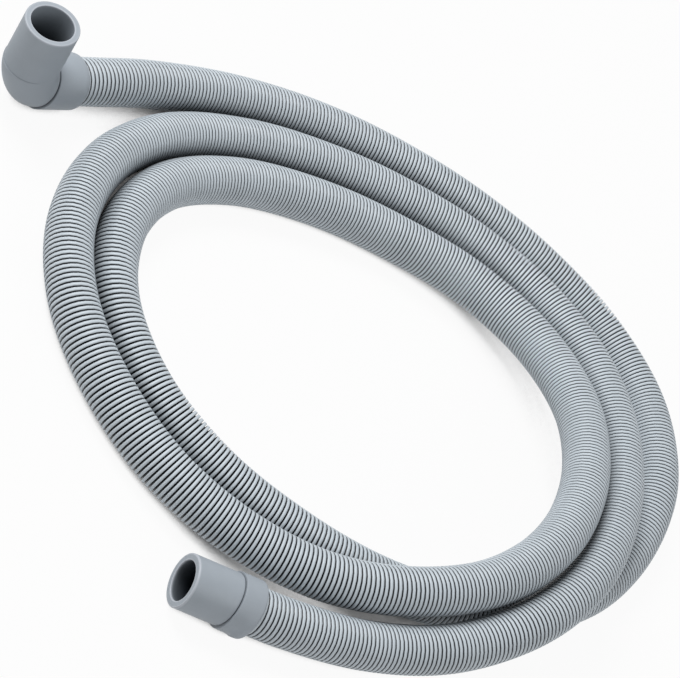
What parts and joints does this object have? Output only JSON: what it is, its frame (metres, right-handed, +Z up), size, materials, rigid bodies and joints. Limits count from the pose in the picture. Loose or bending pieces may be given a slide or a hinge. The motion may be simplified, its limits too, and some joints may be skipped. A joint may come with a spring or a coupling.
{
  "type": "drain hose",
  "caption": "Corrugated plastic drain hose lying in a loose coil, with an elbow cuff on its inlet end and a straight cuff on its outlet end.",
  "frame": {"origin": "on the surface that the hose lies on, below the middle of the whole part", "axes": "+Z up from the surface; +X from the elbow cuff's side of the coil towards the far side; +Y away from the straight cuff's side"},
  "size_m": [0.4004, 0.3888, 0.0578],
  "materials": {
    "hose_plastic": "pale blue-grey polypropylene with a soft sheen",
    "cuff_rubber": "smooth mid-grey moulded rubber, satin"
  },
  "bodies": {
    "root": {"corrugated_hose": "hose_plastic", "elbow_cuff": "cuff_rubber", "straight_cuff": "cuff_rubber"}
  },
  "joints": []
}
